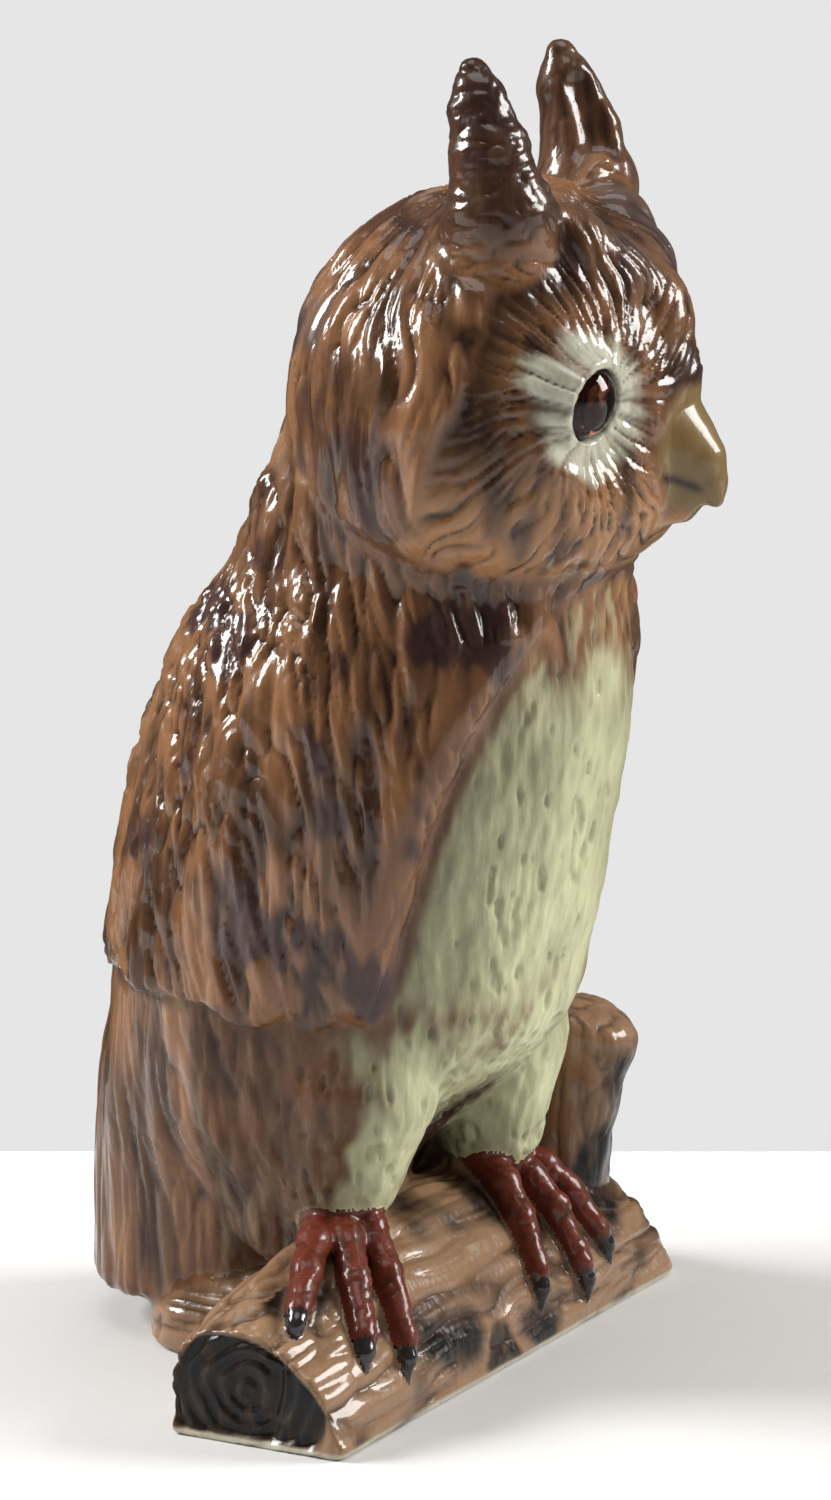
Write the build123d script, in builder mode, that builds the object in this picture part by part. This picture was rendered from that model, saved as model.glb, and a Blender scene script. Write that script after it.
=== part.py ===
from build123d import *

import os
from collections import namedtuple
from itertools import accumulate
from math import cos, radians, sin, sqrt

# Glazed ceramic owl on a cut log, with set-in glass eyes. Millimetres.
# Origin: middle of the log's footprint, on the table. +Z up, the owl faces -Y, its left is +X.
# The figure is a set of hollow slip castings and small solid ones, luted together before the
# firing, so each casting is its own solid and meets its neighbours face to face.

os.makedirs("parts", exist_ok=True)

# A level slice of a casting: how far it is above the slice below, where its middle is in Y,
# and its half width (X) and half depth (Y).
Slice = namedtuple("Slice", "rise y half_width half_depth")

# ---------------------------------------------------------------- torso
wall = 5.0  # clay wall of the torso and the head
vent_diameter = 3.2  # lets the air out of a closed casting in the kiln
vent_x = 12.0  # the torso's vent runs up through the tail, beside the knot
vent_y = 56.0
rump_bottom = 28.0  # underside of the torso, above the table
torso_slices = [
    Slice(0, 53.0, 28.0, 35.0),  # underside
    Slice(14, 49.0, 35.0, 38.5),  # rump
    Slice(34, 27.5, 51.0, 55.0),  # hips
    Slice(24, 22.0, 54.0, 57.0),  # belly
    Slice(25, 17.0, 55.0, 57.0),  # chest
    Slice(25, 11.0, 52.0, 54.5),  # shoulders
    Slice(36, 3.0, 44.0, 44.5),  # neck
]

# ---------------------------------------------------------------- head
head_turn = 10.0  # degrees, to the owl's left
head_axis_y = -12.0  # the upright line that the head turns about
# Slices above the neck. Their Y is from the head's turning line.
head_slices = [
    Slice(22, 2.5, 48.5, 47.0),  # cheeks
    Slice(18, -1.5, 48.5, 44.0),  # eyes
    Slice(17, -2.5, 44.5, 40.0),  # temples
    Slice(12, -3.0, 33.5, 30.0),  # crown
    Slice(7, -3.5, 13.0, 12.0),  # top
]

# ear tufts
ear_rise = 111.0  # tip above the neck
ear_tip_spread = 30.5
ear_tip_radius = 2.6
ear_waist_rise = 86.0
ear_waist_half_width = 7.5
ear_waist_half_depth = 9.5
ear_root_rise = 56.0
ear_root_inset = 13.0  # from the temple in to the middle of the ear's root
ear_root_half_width = 12.0
ear_root_half_depth = 15.0
ear_y = -8.5  # from the head's turning line

# beak
beak_root_rise = 24.0
beak_root_half_width = 8.5
beak_root_half_height = 9.5
beak_root_sink = 8.0  # how deep the beak is set into the face
beak_bridge_reach = 5.0  # ridge of the beak in front of the face
beak_bridge_drop = 3.0
beak_bridge_dip = 35.0  # degrees, how far the beak points down there
beak_bridge_half_width = 6.0
beak_bridge_half_height = 7.5
beak_tip_reach = 8.5
beak_tip_drop = 13.0
beak_tip_dip = 75.0  # degrees
beak_tip_radius = 1.8

# eyes
eye_diameter = 16.0
eye_dome = 4.4  # height of the glass
iris_thickness = 0.8  # painted disc behind the glass
pupil_diameter = 9.0
eye_bed_thickness = 2.2  # putty that the eye is set in
eye_clearance = 0.15
eye_spread = 30.0
eye_rise = 38.0
eye_toe_out = 14.0  # degrees
eye_look_down = 14.0  # degrees
eye_inset = 2.5  # the back of the glass is behind the face by this much

# ---------------------------------------------------------------- wings and tail
wing_relief = 3.5  # how far a wing stands out of the torso
wing_top = 182.0
wing_top_y = -26.0
wing_shoulder = (-38.0, 170.0)  # Y and Z of the corners of the outline
wing_breast = (-21.0, 126.0)
wing_front_tip = (1.0, 76.0)
wing_hem = (45.0, 76.0)
wing_back_hem = (100.0, 86.0)

tail_bottom = 9.0  # above the table
tail_slices = [
    Slice(0, 56.5, 33.0, 32.0),  # tip
    Slice(36, 54.0, 35.0, 35.0),  # broadest
    Slice(39, 49.0, 31.0, 34.5),  # under the wings
]

# ---------------------------------------------------------------- log
log_length = 156.0
log_depth = 42.0
log_height = 37.0  # at the feet
log_right_height = 31.0  # at the sawn end, on the owl's right
log_left_height = 28.0
log_wall = 6.0
log_trim = 1.0  # trimmed off underneath, so that the log stands flat
log_vent_x = 20.0
log_crest_y = 6.0  # the top line of the log is a little behind its middle
log_front_slope = 0.42  # the front face leans back by this much for each millimetre up
log_fullness = (1.5, 1.0, 1.0)  # how full the section's curve is at the back, top and front

branch_inset = 18.0  # of the branch's root, from the log's left end
branch_root_y = 2.0
branch_root_radius = 11.0
branch_waist_radius = 8.5
branch_top_radius = 10.0
branch_top_y = -9.0
branch_height = 70.0
branch_slant = 18.0  # degrees, of its sawn top

knot_x = -20.0
knot_back_y = 63.0
knot_half_width = 17.0
knot_height = 24.0
knot_root_height = 30.0
knot_fullness = (1.5, 1.3, 1.5)  # of its curve at one side, top and other side

# ---------------------------------------------------------------- legs and feet
leg_spread = 29.0
thigh_top = 86.0
thigh_y = -3.0
thigh_half_width = 17.0
thigh_half_depth = 21.0
shin_height = 58.0
shin_half_width = 12.5
shin_half_depth = 14.0
ankle_radius = 8.5
ankle_sink = 4.0  # the leg goes this deep into the log's top
right_ankle_y = 9.0
left_ankle_y = 3.0

toe_radius = 3.7
toe_sink = 0.8  # how deep a toe lies in the log
toe_start = 5.5  # from the middle of the ankle to the toe's root
toe_bow = 3.0  # how far the toe bows up from the log
# For each toe: its name, how far its tip is outward of the leg, and how far below the log's top
toe_tips = (("inner", -1.0, 18.0), ("middle", 15.0, 17.0), ("outer", 27.0, 11.0))
right_foot_shift = 15.0  # the right foot points further out
left_foot_shift = -13.0
claw_length = 7.5
claw_root_radius = 2.9
claw_tip_radius = 0.9

# ---------------------------------------------------------------- derived places
torso_heights = [rump_bottom + rise for rise in accumulate(s.rise for s in torso_slices)]
neck_height = torso_heights[-1]
head_heights = [neck_height + rise for rise in accumulate(s.rise for s in head_slices)]
cheeks, eye_line, temples = head_slices[:3]
branch_x = log_length / 2 - branch_inset


def head_plane(x, y, z, outward=0.0, down=0.0):
    """A plane at a place in the turned head, facing forward, and then outward and down."""
    turn = radians(head_turn)
    origin = (x * cos(turn) - y * sin(turn), head_axis_y + x * sin(turn) + y * cos(turn), z)
    facing = radians(head_turn + outward)
    dip = radians(down)
    normal = (sin(facing) * cos(dip), -cos(facing) * cos(dip), -sin(dip))
    return Plane(origin=origin, x_dir=(cos(facing), sin(facing), 0), z_dir=normal)


def level_plane(y, z, turn=0.0):
    """A level plane on the head's turning line, or on the middle of the torso."""
    angle = radians(turn)
    return Plane(origin=(0, y, z), x_dir=(cos(angle), sin(angle), 0), z_dir=(0, 0, 1))


def oval_loft(planes, ovals):
    """A smooth solid through ovals, each given as its middle's Y, half width and half depth."""
    with BuildPart() as body:
        for plane, (y, half_width, half_depth) in zip(planes, ovals):
            with BuildSketch(plane):
                with Locations((0, y)):
                    Ellipse(half_width, half_depth)
        loft()
    return body.part


def torso_solid(grow=0.0, floor=0.0):
    """The torso's outside, grown outward, with its underside raised by floor."""
    heights = [torso_heights[0] + floor] + torso_heights[1:]
    planes = [level_plane(0, z) for z in heights]
    ovals = [(s.y, s.half_width + grow, s.half_depth + grow) for s in torso_slices]
    return oval_loft(planes, ovals)


def tail_solid():
    """The tail before the torso, the wings and the knot are taken out of it."""
    heights = [tail_bottom + rise for rise in accumulate(s.rise for s in tail_slices)]
    planes = [level_plane(0, z) for z in heights]
    return oval_loft(planes, [(s.y, s.half_width, s.half_depth) for s in tail_slices])


def head_solid(grow=0.0, ceiling=0.0):
    """The head's outside from the neck up, grown outward, with its top lowered by ceiling."""
    neck = torso_slices[-1]
    heights = head_heights[:-1] + [head_heights[-1] - ceiling]
    planes = [level_plane(0, neck_height)]
    planes += [level_plane(head_axis_y, z, head_turn) for z in heights]
    ovals = [(neck.y, neck.half_width + grow, neck.half_depth + grow)]
    ovals += [(s.y, s.half_width + grow, s.half_depth + grow) for s in head_slices]
    return oval_loft(planes, ovals)


def log_section(x, height, inset=0.0):
    """The log's section at x: flat underneath, domed on top."""
    half = log_depth / 2 - inset
    top = height - inset
    floor = inset or -log_trim
    with BuildSketch(Plane(origin=(x, 0, 0), x_dir=(0, 1, 0), z_dir=(1, 0, 0))) as section:
        with BuildLine():
            Line((-half, floor), (half, floor))
            Spline(
                (half, floor),
                (log_crest_y, top),
                (-half, floor),
                tangents=[(0, 1), (-1, 0), (-log_front_slope, -1)],
                tangent_scalars=log_fullness,
            )
        make_face()
    return section.sketch


def log_solid(inset=0.0):
    """The log's outside, or its inside when it is inset by the wall."""
    end = log_length / 2 - inset
    with BuildPart() as body:
        for x, height in (
            (-end, log_right_height),
            (-leg_spread, log_height),
            (leg_spread, log_height),
            (end, log_left_height),
        ):
            add(log_section(x, height, inset))
        loft()
        split(bisect_by=Plane.XY, keep=Keep.TOP)
    return body.part


def finish(part, name):
    """Names a piece and writes it."""
    part.label = name
    export_step(part, f"parts/{name}.step")
    print(f"{name}: {len(part.solids())} solid, {part.volume / 1000:.1f} cm3")


def vent_solid():
    """The torso's vent, from the underside of the tail into the cavity."""
    with BuildPart() as vent:
        with BuildSketch(Plane.XY.offset(tail_bottom)):
            with Locations((vent_x, vent_y)):
                Circle(vent_diameter / 2)
        extrude(amount=rump_bottom + 2 * wall - tail_bottom)
    return vent.part


torso_outside = torso_solid()
head_outside = head_solid()
log_outside = log_solid()

# ---------------------------------------------------------------- log
with BuildPart() as log_base:
    add(log_outside)
    add(log_solid(inset=log_wall), mode=Mode.SUBTRACT)
    with BuildSketch(Plane.XY):
        with Locations((log_vent_x, 0)):
            Circle(vent_diameter / 2)
    extrude(amount=2 * log_wall, mode=Mode.SUBTRACT)
finish(log_base.part, "log_base")

with BuildPart() as branch_stub:
    with BuildSketch(Plane.XY):
        with Locations((branch_x, branch_root_y)):
            Circle(branch_root_radius)
    with BuildSketch(Plane.XY.offset((log_height + branch_height) / 2)):
        with Locations((branch_x, (branch_root_y + branch_top_y) / 2)):
            Circle(branch_waist_radius)
    top_plane = Plane(origin=(branch_x, branch_top_y, branch_height)).rotated((branch_slant, 0, 0))
    with BuildSketch(top_plane):
        Circle(branch_top_radius)
    loft()
    add(log_outside, mode=Mode.SUBTRACT)
finish(branch_stub.part, "branch_stub")

with BuildPart() as knot_stub:
    for y, height in ((0, knot_root_height), (knot_back_y, knot_height)):
        with BuildSketch(Plane.XZ.offset(-y)):
            with BuildLine():
                Line((knot_x - knot_half_width, 0), (knot_x + knot_half_width, 0))
                Spline(
                    (knot_x + knot_half_width, 0),
                    (knot_x, height),
                    (knot_x - knot_half_width, 0),
                    tangents=[(0, 1), (-1, 0), (0, -1)],
                    tangent_scalars=knot_fullness,
                )
            make_face()
    loft()
    add(log_outside, mode=Mode.SUBTRACT)
finish(knot_stub.part, "knot_stub")

# ---------------------------------------------------------------- torso, wings, tail
with BuildPart() as torso_shell:
    add(torso_outside)
    add(torso_solid(grow=-wall, floor=wall), mode=Mode.SUBTRACT)
    add(vent_solid(), mode=Mode.SUBTRACT)
    add(log_outside, mode=Mode.SUBTRACT)
    add(knot_stub.part, mode=Mode.SUBTRACT)
finish(torso_shell.part, "torso_shell")

with BuildPart() as wing_right:
    with BuildSketch(Plane.YZ):
        with BuildLine():
            Spline(
                (wing_top_y, wing_top),
                wing_shoulder,
                wing_breast,
                wing_front_tip,
            )
            Spline(wing_front_tip, wing_hem, wing_back_hem)
            Polyline(
                wing_back_hem,
                (wing_back_hem[0], wing_top),
                (wing_top_y, wing_top),
            )
        make_face()
    extrude(amount=-2 * torso_slices[3].half_width)
    add(torso_solid(grow=wing_relief), mode=Mode.INTERSECT)
    add(torso_outside, mode=Mode.SUBTRACT)
finish(wing_right.part, "wing_right")

with BuildPart() as wing_left:
    mirror(wing_right.part, about=Plane.YZ)
finish(wing_left.part, "wing_left")

with BuildPart() as tail:
    add(tail_solid())
    add(torso_outside, mode=Mode.SUBTRACT)
    add(wing_right.part, mode=Mode.SUBTRACT)
    add(wing_left.part, mode=Mode.SUBTRACT)
    add(knot_stub.part, mode=Mode.SUBTRACT)
    add(vent_solid(), mode=Mode.SUBTRACT)
finish(tail.part, "tail")

# ---------------------------------------------------------------- head and ear tufts
# Distance from the head's turning line to the face, at a place beside its middle.
def face_reach(level, spread):
    """How far in front of the turning line the face is, on a head slice, beside the middle."""
    return level.half_depth * sqrt(1 - (spread / level.half_width) ** 2) - level.y


eye_reach = face_reach(eye_line, eye_spread) - eye_inset
eye_planes = {
    side: head_plane(
        sign * eye_spread, -eye_reach, neck_height + eye_rise, sign * eye_toe_out, eye_look_down
    )
    for side, sign in (("right", -1), ("left", 1))
}
eye_bed_back = eye_bed_thickness + iris_thickness

with BuildPart() as head_shell:
    add(head_outside)
    add(head_solid(grow=-wall, ceiling=wall), mode=Mode.SUBTRACT)
    for plane in eye_planes.values():
        with BuildSketch(plane.offset(-eye_bed_back - wall)):
            Circle(eye_diameter / 2 + wall)
        extrude(amount=wall)
        with BuildSketch(plane.offset(-eye_bed_back)):
            Circle(eye_diameter / 2 + eye_clearance)
        extrude(amount=eye_diameter, mode=Mode.SUBTRACT)
finish(head_shell.part, "head_shell")

ear_root_spread = temples.half_width - ear_root_inset
for side, sign in (("right", -1), ("left", 1)):
    ear_stack = (
        (ear_root_rise, ear_root_spread, ear_root_half_width, ear_root_half_depth),
        (ear_waist_rise, ear_tip_spread, ear_waist_half_width, ear_waist_half_depth),
        (ear_rise, ear_tip_spread, ear_tip_radius, ear_tip_radius),
    )
    with BuildPart() as ear_tuft:
        for rise, spread, half_width, half_depth in ear_stack:
            with BuildSketch(level_plane(head_axis_y, neck_height + rise, head_turn)):
                with Locations((sign * spread, ear_y)):
                    Ellipse(half_width, half_depth)
        loft()
        fillet(ear_tuft.edges().group_by(Axis.Z)[-1], ear_tip_radius / 2)
        add(head_outside, mode=Mode.SUBTRACT)
    finish(ear_tuft.part, f"ear_tuft_{side}")

# ---------------------------------------------------------------- beak
beak_reach = face_reach(cheeks, 0)
beak_height = neck_height + beak_root_rise
beak_tip_plane = head_plane(
    0, -beak_reach - beak_tip_reach, beak_height - beak_tip_drop, down=beak_tip_dip
)
beak_bridge_plane = head_plane(
    0, -beak_reach - beak_bridge_reach, beak_height - beak_bridge_drop, down=beak_bridge_dip
)
with BuildPart() as beak:
    with BuildSketch(head_plane(0, beak_root_sink - beak_reach, beak_height)):
        Ellipse(beak_root_half_width, beak_root_half_height)
    with BuildSketch(beak_bridge_plane):
        Ellipse(beak_bridge_half_width, beak_bridge_half_height)
    with BuildSketch(beak_tip_plane):
        Circle(beak_tip_radius)
    loft()
    add(head_outside, mode=Mode.SUBTRACT)
finish(beak.part, "beak")

# ---------------------------------------------------------------- eyes
glass_radius = eye_diameter / 2
dome_radius = (glass_radius**2 + eye_dome**2) / (2 * eye_dome)
for side, plane in eye_planes.items():
    with BuildPart() as eye_bed:
        with BuildSketch(plane.offset(-eye_bed_back)):
            Circle(glass_radius)
        extrude(amount=eye_bed_thickness)
    finish(eye_bed.part, f"eye_bed_{side}")

    with BuildPart() as eye_iris:
        with BuildSketch(plane.offset(-iris_thickness)):
            Circle(glass_radius)
            Circle(pupil_diameter / 2, mode=Mode.SUBTRACT)
        extrude(amount=iris_thickness)
    finish(eye_iris.part, f"eye_iris_{side}")

    with BuildPart() as eye_pupil:
        with BuildSketch(plane.offset(-iris_thickness)):
            Circle(pupil_diameter / 2)
        extrude(amount=iris_thickness)
    finish(eye_pupil.part, f"eye_pupil_{side}")

    with BuildPart() as eye_glass:
        with BuildSketch(Plane(origin=plane.origin, x_dir=plane.x_dir, z_dir=plane.y_dir)):
            with BuildLine():
                Line((0, 0), (0, -eye_dome))
                RadiusArc((0, -eye_dome), (glass_radius, 0), -dome_radius)
                Line((glass_radius, 0), (0, 0))
            make_face()
        revolve(axis=Axis(plane.origin, plane.z_dir))
    finish(eye_glass.part, f"eye_glass_{side}")

# ---------------------------------------------------------------- legs, toes and claws
def log_top(x, y):
    """The place on the log's surface straight above x and y."""
    upright = Edge.make_line((x, y, -wall), (x, y, 2 * log_height))
    return Vector(x, y, log_outside.intersect(upright)[0].bounding_box().max.Z)


def log_front(x, z):
    """The place on the log's front face at x and a height."""
    level = Edge.make_line((x, -log_depth, z), (x, log_depth, z))
    return Vector(x, log_outside.intersect(level)[0].bounding_box().min.Y, z)


toes = {}
claws = {}
feet = (("right", -1, right_ankle_y, right_foot_shift), ("left", 1, left_ankle_y, left_foot_shift))
for side, sign, ankle_y, foot_shift in feet:
    leg_x = sign * leg_spread
    leg_stack = (
        (log_height - ankle_sink, ankle_y, ankle_radius, ankle_radius),
        (shin_height, (ankle_y + thigh_y) / 2, shin_half_width, shin_half_depth),
        (thigh_top, thigh_y, thigh_half_width, thigh_half_depth),
    )
    with BuildPart() as leg:
        for z, y, half_width, half_depth in leg_stack:
            with BuildSketch(Plane.XY.offset(z)):
                with Locations((leg_x, y)):
                    Ellipse(half_width, half_depth)
        loft()
        add(torso_outside, mode=Mode.SUBTRACT)
        add(wing_right.part if side == "right" else wing_left.part, mode=Mode.SUBTRACT)
        add(log_outside, mode=Mode.SUBTRACT)
    finish(leg.part, f"leg_{side}")

    for toe_name, outward, drop in toe_tips:
        tip = log_front(leg_x + sign * (outward + foot_shift), log_height - drop)
        ankle = Vector(leg_x, ankle_y, tip.Z)
        root_way = (tip - ankle).normalized() * toe_start
        root = log_top(leg_x + root_way.X, ankle_y + root_way.Y)
        middle = log_top((root.X + tip.X) / 2, (root.Y + tip.Y) / 2)
        rise = Vector(0, 0, toe_radius - toe_sink)
        with BuildPart() as toe:
            with BuildLine():
                bow = ThreePointArc(root + rise, middle + rise + Vector(0, 0, toe_bow), tip + rise)
            with BuildSketch(Plane(origin=bow @ 0, z_dir=bow % 0)):
                Circle(toe_radius)
            sweep(path=bow)
            add(log_outside, mode=Mode.SUBTRACT)
            add(leg.part, mode=Mode.SUBTRACT)
            add(torso_outside, mode=Mode.SUBTRACT)
        toes[side, toe_name] = toe.part

        claw_root = Plane(origin=bow @ 1, z_dir=bow % 1)
        with BuildPart() as claw:
            with BuildSketch(claw_root):
                Circle(claw_root_radius)
            with BuildSketch(claw_root.offset(claw_length)):
                Circle(claw_tip_radius)
            loft()
            add(log_outside, mode=Mode.SUBTRACT)
        claws[side, toe_name] = claw.part

# Toes crowd together at the ankle: the middle one is whole and its neighbours give way to it.
for (side, toe_name), toe_solid in toes.items():
    with BuildPart() as trimmed_toe:
        add(toe_solid)
        if toe_name != "middle":
            add(toes[side, "middle"], mode=Mode.SUBTRACT)
        if toe_name == "outer":
            add(toes[side, "inner"], mode=Mode.SUBTRACT)
    finish(trimmed_toe.part, f"toe_{side}_{toe_name}")
    finish(claws[side, toe_name], f"claw_{side}_{toe_name}")
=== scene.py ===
import math

import bpy
import numpy as np
import openvdb
from mathutils import Matrix, Vector


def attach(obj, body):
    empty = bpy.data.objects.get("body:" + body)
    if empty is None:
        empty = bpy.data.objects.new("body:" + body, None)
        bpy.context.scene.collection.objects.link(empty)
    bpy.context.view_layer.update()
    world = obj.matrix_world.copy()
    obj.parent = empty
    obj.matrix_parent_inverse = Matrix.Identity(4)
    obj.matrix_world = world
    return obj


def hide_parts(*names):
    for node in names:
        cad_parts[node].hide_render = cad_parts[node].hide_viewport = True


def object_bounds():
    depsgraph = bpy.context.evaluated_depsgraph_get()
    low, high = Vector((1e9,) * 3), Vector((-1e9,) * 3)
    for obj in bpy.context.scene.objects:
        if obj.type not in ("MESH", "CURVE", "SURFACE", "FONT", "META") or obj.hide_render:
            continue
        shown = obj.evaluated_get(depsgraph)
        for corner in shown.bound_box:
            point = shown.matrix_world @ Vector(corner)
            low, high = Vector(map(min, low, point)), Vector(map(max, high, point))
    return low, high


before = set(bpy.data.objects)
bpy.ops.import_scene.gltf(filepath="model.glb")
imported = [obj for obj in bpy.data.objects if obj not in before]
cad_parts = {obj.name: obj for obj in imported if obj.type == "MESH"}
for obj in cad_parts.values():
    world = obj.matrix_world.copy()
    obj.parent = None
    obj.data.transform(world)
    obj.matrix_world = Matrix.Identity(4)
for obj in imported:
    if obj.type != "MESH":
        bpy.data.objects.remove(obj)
cadLow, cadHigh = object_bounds()
mm = 0.001  # the clay is worked in millimetres, Blender in metres

clay = {
    "voxel": 0.72,  # how fine the clay is
    "margin": 7.0,  # room round the CAD box
    "band": 3.0,  # how far from the skin the field is kept
}

steps = [
    np.arange(lo / mm - clay["margin"], hi / mm + clay["margin"], clay["voxel"], dtype=np.float32)
    for lo, hi in zip(cadLow, cadHigh)
]
field = np.full([len(s) for s in steps], clay["band"], dtype=np.float32)


def smoothStep(v, start, end):
    t = np.clip((v - start) / (end - start), 0, 1)
    return t * t * (3 - 2 * t)


def join(a, b, blend):  # both lumps, with a fillet of clay between them
    h = np.maximum(blend - np.abs(a - b), 0) / blend
    return np.minimum(a, b) - h * h * blend / 4


def trim(a, b, blend):  # what is inside both
    return -join(-a, -b, blend)


def carve(a, b, blend):  # a without b
    return -join(-a, b, blend)


def glide(h, levels, column):  # an even curve through one column of a few levels
    heights = np.array([level[0] for level in levels], dtype=np.float32)
    values = np.array([level[column] for level in levels], dtype=np.float32)
    slope = np.gradient(values, heights)
    i = np.clip(np.searchsorted(heights, h) - 1, 0, len(heights) - 2)
    gap = heights[i + 1] - heights[i]
    t = np.clip((h - heights[i]) / gap, 0, 1)
    start = (2 * t**3 - 3 * t**2 + 1) * values[i] + (t**3 - 2 * t**2 + t) * gap * slope[i]
    return start + (3 * t**2 - 2 * t**3) * values[i + 1] + (t**3 - t**2) * gap * slope[i + 1]


def oval(u, v, halfU, halfV):  # distance to an oval, good near its edge
    u = u / halfU
    v = v / halfV
    q = np.sqrt(u * u + v * v) + 1e-4
    return q * (q - 1) / (np.sqrt((u / halfU) ** 2 + (v / halfV) ** 2) + 1e-5)


def roll(x, y, z, a, b, ra, rb):  # a rolled piece of clay from a to b, thinning from ra to rb
    ax, ay, az = a
    dx, dy, dz = b[0] - ax, b[1] - ay, b[2] - az
    t = np.clip(((x - ax) * dx + (y - ay) * dy + (z - az) * dz) / (dx * dx + dy * dy + dz * dz), 0, 1)
    away = np.sqrt((x - ax - t * dx) ** 2 + (y - ay - t * dy) ** 2 + (z - az - t * dz) ** 2)
    return away - (ra + t * (rb - ra))


def chain(x, y, z, stops, blend=2.0):  # rolls end to end, each stop (x, y, z, radius)
    d = None
    for a, b in zip(stops, stops[1:]):
        part = roll(x, y, z, a[:3], b[:3], a[3], b[3])
        d = part if d is None else join(d, part, blend)
    return d


def chainShape(stops, blend):
    return lambda x, y, z: chain(x, y, z, stops, blend)


# the head is turned to the owl's left about an upright line
headTurn = math.radians(10)
headAxisY = -12.0


def toHead(x, y):
    y = y - headAxisY
    c, s = math.cos(headTurn), math.sin(headTurn)
    return c * x + s * y, c * y - s * x


def fromHead(x, y, z):
    c, s = math.cos(headTurn), math.sin(headTurn)
    return Vector((c * x - s * y, headAxisY + s * x + c * y, z))


torso = {
    # each level: height, middle in Y, half width, half depth
    "levels": [
        (9, 56, 33, 32),
        (42, 49, 36, 38),
        (60, 38, 43.5, 46),
        (78, 27, 49.5, 53),
        (100, 22, 52, 54.5),
        (125, 17, 53, 54.5),
        (150, 10.5, 50.5, 52.5),
        (172, 6, 46.5, 47.5),
        (186, 2, 43.5, 43.5),
        (198, -3, 43, 44),
        (212, -9, 41, 42),
    ],
    "bottom": 9.0,
    "bottomRound": 5.0,
    "top": 214.0,
    "topRound": 12.0,
}
wings = {
    # height and Y of the leading edge
    "edge": [
        (60, 8),
        (76, -2),
        (93, -10),
        (110, -15),
        (128, -20),
        (148, -27),
        (164, -33),
        (182, -41),
        (200, -60),
    ],
    "hem": 88.0,
    "hemRise": 0.04,  # for each millimetre towards the back
    "hemWaves": [(1.8, 0.16, 0.2, 0.0), (1.1, 0.37, -0.3, 1.0)],  # height, and the turns in Y and X
    "hemRound": 4.0,
    "relief": 3.2,
    "reliefEnds": (155, 188),  # heights between which the relief dies away at the shoulder
    "lip": 1.8,  # more at the leading edge
    "lipPlace": 3.0,
    "lipWidth": 5.0,
    "lipEnds": (165, 185),
    "round": 2.5,
}


def torsoShape(x, y, z):
    levels = torso["levels"]
    d = oval(x, y - glide(z, levels, 1), glide(z, levels, 2), glide(z, levels, 3))
    d = trim(d, torso["bottom"] - z, torso["bottomRound"])
    return trim(d, z - torso["top"], torso["topRound"])


def wingEdge(z):
    return glide(z, wings["edge"], 1)


def hemHeight(x, y):
    height = wings["hem"] + wings["hemRise"] * y
    for wave, turnY, turnX, start in wings["hemWaves"]:
        height = height + wave * np.sin(turnY * y + turnX * x + start)
    return height


def wingPatch(x, y, z):  # below zero inside the outline of the wings
    return trim(wingEdge(z) - y, hemHeight(x, y) - z, wings["hemRound"])


def wingShape(x, y, z):
    inFromEdge = y - wingEdge(z)
    thick = wings["relief"] * (1 - 0.95 * smoothStep(z, *wings["reliefEnds"]))
    frontCorner = smoothStep(-inFromEdge, -30, -8) * (1 - smoothStep(z, 84, 100))
    thick = thick * (1 - 0.7 * frontCorner)  # the hem fades out towards the front
    lip = np.exp(-(((inFromEdge - wings["lipPlace"]) / wings["lipWidth"]) ** 2))
    thick = thick + wings["lip"] * lip * (1 - smoothStep(z, *wings["lipEnds"]))
    return trim(torsoShape(x, y, z) - thick, wingPatch(x, y, z), wings["round"])


head = {
    "middle": -1.2,  # Y from the turning line
    "height": 218.0,
    "halfWidth": 48.0,
    "halfDepth": 42.8,
    "up": 47.0,
    "down": 36.0,
    "boxyUp": 2.15,  # 2 is an egg, more is squarer
    "boxyDown": 2.9,
    "scale": 44.0,  # turns the egg's own measure into millimetres
}


def headShape(x, y, z):
    x, y = toHead(x, y)
    rise = z - head["height"]
    tall = np.where(rise > 0, head["up"], head["down"])
    level = np.sqrt((x / head["halfWidth"]) ** 2 + ((y - head["middle"]) / head["halfDepth"]) ** 2)
    p = np.where(rise > 0, head["boxyUp"], head["boxyDown"])
    q = (level**p + (np.abs(rise) / tall) ** p) ** (1 / p)
    return (q - 1) * head["scale"]


nape = {
    "stops": [(0, 12, 217, 12), (0, 18, 203, 17.5), (0, 23, 186, 19.5), (0, 26, 170, 20)],
    "blend": 6,
}

brow = {
    # from the front of an ear down to the beak
    "ridge": [(25, -16, 264.5, 4.5), (17.5, -24.5, 257.5, 5), (9.5, -31, 250, 5.5), (0, -36, 241, 6)],
    "bridge": [(0, -36, 241, 6), (0, -40.5, 228, 5), (0, -39, 218, 6)],
}
ears = {
    "stops": [
        (28, -11, 250, 9),
        (30, -12.5, 264, 9.6),
        (30.3, -10.8, 276, 7.4),
        (29.3, -8, 286, 5.2),
        (29, -6.6, 293.2, 2.6),
    ],
    "scoop": [(18, -24, 262, 8.5), (20.8, -18.8, 275, 6.4), (24.4, -12.8, 287, 3.6)],
    "blend": 4,
    "scoopRound": 3,
}
beak = {
    "stops": [
        (0, -36, 212, 10.5),
        (0, -43, 211.5, 9.4),
        (0, -48.5, 208, 5.4),
        (0, -51.2, 203.5, 3),
        (0, -52.4, 200, 1.5),
    ],
    "jaw": [(0, -34, 203, 9), (0, -44.5, 201.5, 4.6)],
    "horny": 2.8,  # how far the horn colour spreads on to the face
}


def inHead(stops, side=1, blend=3.0):
    def shape(x, y, z):
        hx, hy = toHead(x, y)
        return chain(hx, hy, z, [(side * s[0], *s[1:]) for s in stops], blend)

    return shape


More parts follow.
